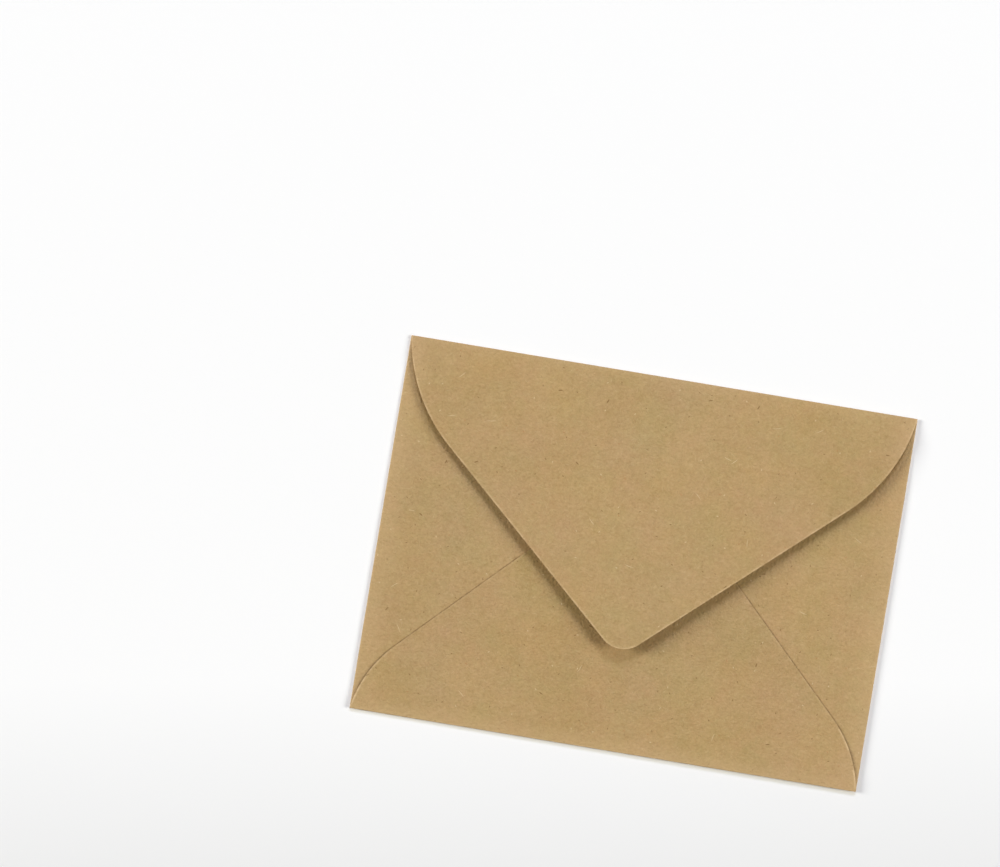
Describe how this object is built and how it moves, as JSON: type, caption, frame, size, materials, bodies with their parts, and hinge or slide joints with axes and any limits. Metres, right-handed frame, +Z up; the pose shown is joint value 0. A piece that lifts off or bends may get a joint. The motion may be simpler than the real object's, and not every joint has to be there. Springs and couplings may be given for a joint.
{
  "type": "paper envelope",
  "caption": "Brown kraft paper envelope with a pointed gummed closure flap, empty and unsealed, lying on its address side with the flap sprung a little way up.",
  "frame": {"origin": "middle of the address panel's outer face, which is the underside of the envelope as it lies", "axes": "+X along the envelope's width, +Y up the address panel towards the closure flap's crease, +Z up, out of the flap side"},
  "size_m": [0.165, 0.1216, 0.0063],
  "materials": {
    "kraft_paper": "matte, uncoated, fibrous",
    "dry_gum": "dry remoistenable gum, slightly glossy"
  },
  "bodies": {
    "root": {"envelope": "kraft_paper", "flap_gum": "dry_gum"}
  },
  "joints": []
}
